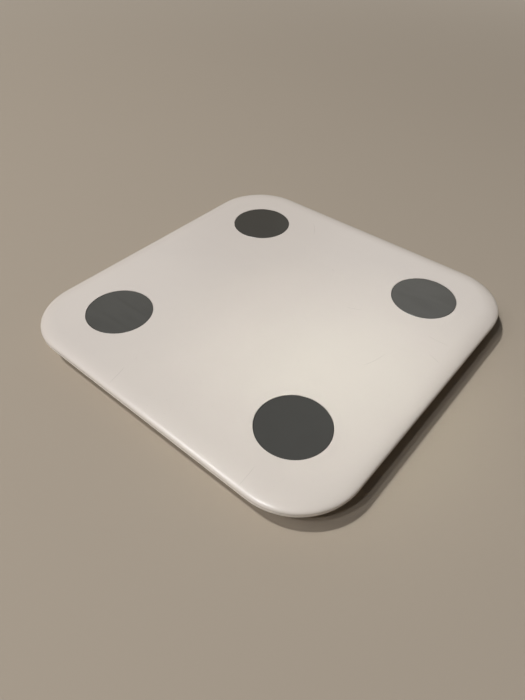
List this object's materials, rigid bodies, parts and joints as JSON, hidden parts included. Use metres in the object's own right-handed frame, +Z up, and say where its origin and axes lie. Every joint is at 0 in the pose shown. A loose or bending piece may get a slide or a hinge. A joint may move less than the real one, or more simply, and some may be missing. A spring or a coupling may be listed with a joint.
{
  "type": "digital bathroom scale",
  "caption": "Square glass bathroom scale with round steel foot electrodes, soft rounded edges, load-cell feet and a snap battery door underneath.",
  "frame": {"origin": "on the floor, under the middle of the platform", "axes": "+Z up, +Y towards the hidden display, +X to the right of someone standing on it and facing the display"},
  "size_m": [0.3, 0.3, 0.025],
  "materials": {
    "coated_glass": "toughened glass, coated white from below, polished",
    "stainless_disc": "fine satin stainless",
    "foam_tape": "double-sided foam tape",
    "white_abs": "moulded ABS, fine satin texture",
    "grey_abs": "moulded ABS, satin",
    "foot_rubber": "soft rubber",
    "zinc_steel": "zinc-plated stamped steel",
    "white_silicone": "silicone compound",
    "bracket_plastic": "moulded acetal",
    "screw_steel": "zinc-plated steel",
    "cell_jacket": "printed-foil jacket, plain",
    "nickel_strip": "nickel-plated spring steel",
    "bronze_strip": "phosphor bronze",
    "board_green": "solder mask",
    "chip_black": "moulded chip packages",
    "socket_white": "nylon",
    "lamp_white": "lamp packages",
    "light_box_white": "moulded ABS",
    "film_white": "diffusing film",
    "ribbon_grey": "flat ribbon",
    "lead_white": "PVC sleeve",
    "lead_black": "PVC sleeve",
    "lead_red": "PVC sleeve"
  },
  "bodies": {
    "platform": {"top_glass": "coated_glass", "electrode_front_left": "stainless_disc", "electrode_front_right": "stainless_disc", "electrode_rear_left": "stainless_disc", "electrode_rear_right": "stainless_disc", "glass_tape": "foam_tape", "top_frame": "white_abs", "bottom_housing": "white_abs", "load_cell_front_left": "zinc_steel", "gauge_sealant_front_left": "white_silicone", "cell_bracket_front_left": "bracket_plastic", "load_cell_front_right": "zinc_steel", "gauge_sealant_front_right": "white_silicone", "cell_bracket_front_right": "bracket_plastic", "load_cell_rear_left": "zinc_steel", "gauge_sealant_rear_left": "white_silicone", "cell_bracket_rear_left": "bracket_plastic", "load_cell_rear_right": "zinc_steel", "gauge_sealant_rear_right": "white_silicone", "cell_bracket_rear_right": "bracket_plastic", "housing_screws": "screw_steel", "bracket_screws": "screw_steel", "board_screws": "screw_steel", "battery_1": "cell_jacket", "battery_2": "cell_jacket", "battery_3": "cell_jacket", "battery_4": "cell_jacket", "battery_link_strips": "nickel_strip", "positive_contact": "nickel_strip", "negative_contact": "nickel_strip", "electrode_contacts": "bronze_strip", "main_board": "board_green", "display_board": "board_green", "board_chips": "chip_black", "lead_sockets": "socket_white", "ribbon_socket": "socket_white", "display_leds": "lamp_white", "display_reflector": "light_box_white", "display_film": "film_white", "display_ribbon": "ribbon_grey", "load_cell_leads": "lead_white", "electrode_leads": "lead_black", "battery_leads": "lead_red"},
    "front_left_foot": {"foot_front_left": "grey_abs", "foot_pad_front_left": "foot_rubber"},
    "front_right_foot": {"foot_front_right": "grey_abs", "foot_pad_front_right": "foot_rubber"},
    "rear_left_foot": {"foot_rear_left": "grey_abs", "foot_pad_rear_left": "foot_rubber"},
    "rear_right_foot": {"foot_rear_right": "grey_abs", "foot_pad_rear_right": "foot_rubber"},
    "door": {"battery_door": "white_abs"}
  },
  "joints": [
    {"name": "front_left_foot_slide", "type": "slide", "parent": "platform", "child": "front_left_foot", "axis": [0, 0, 1], "range_m": [0, 0.0006], "stiffness_N_per_m": 1000, "springref_m": -0.005, "deforming": ["load_cell_front_left"]},
    {"name": "front_right_foot_slide", "type": "slide", "parent": "platform", "child": "front_right_foot", "axis": [0, 0, 1], "range_m": [0, 0.0006], "stiffness_N_per_m": 1000, "springref_m": -0.005, "deforming": ["load_cell_front_right"]},
    {"name": "rear_left_foot_slide", "type": "slide", "parent": "platform", "child": "rear_left_foot", "axis": [0, 0, 1], "range_m": [0, 0.0006], "stiffness_N_per_m": 1000, "springref_m": -0.005, "deforming": ["load_cell_rear_left"]},
    {"name": "rear_right_foot_slide", "type": "slide", "parent": "platform", "child": "rear_right_foot", "axis": [0, 0, 1], "range_m": [0, 0.0006], "stiffness_N_per_m": 1000, "springref_m": -0.005, "deforming": ["load_cell_rear_right"]},
    {"name": "battery_door_hinge", "type": "hinge", "parent": "platform", "child": "door", "pos_m": [0, -0.0262, 0.005], "axis": [-1, 0, 0], "range_deg": [0, 90]}
  ]
}
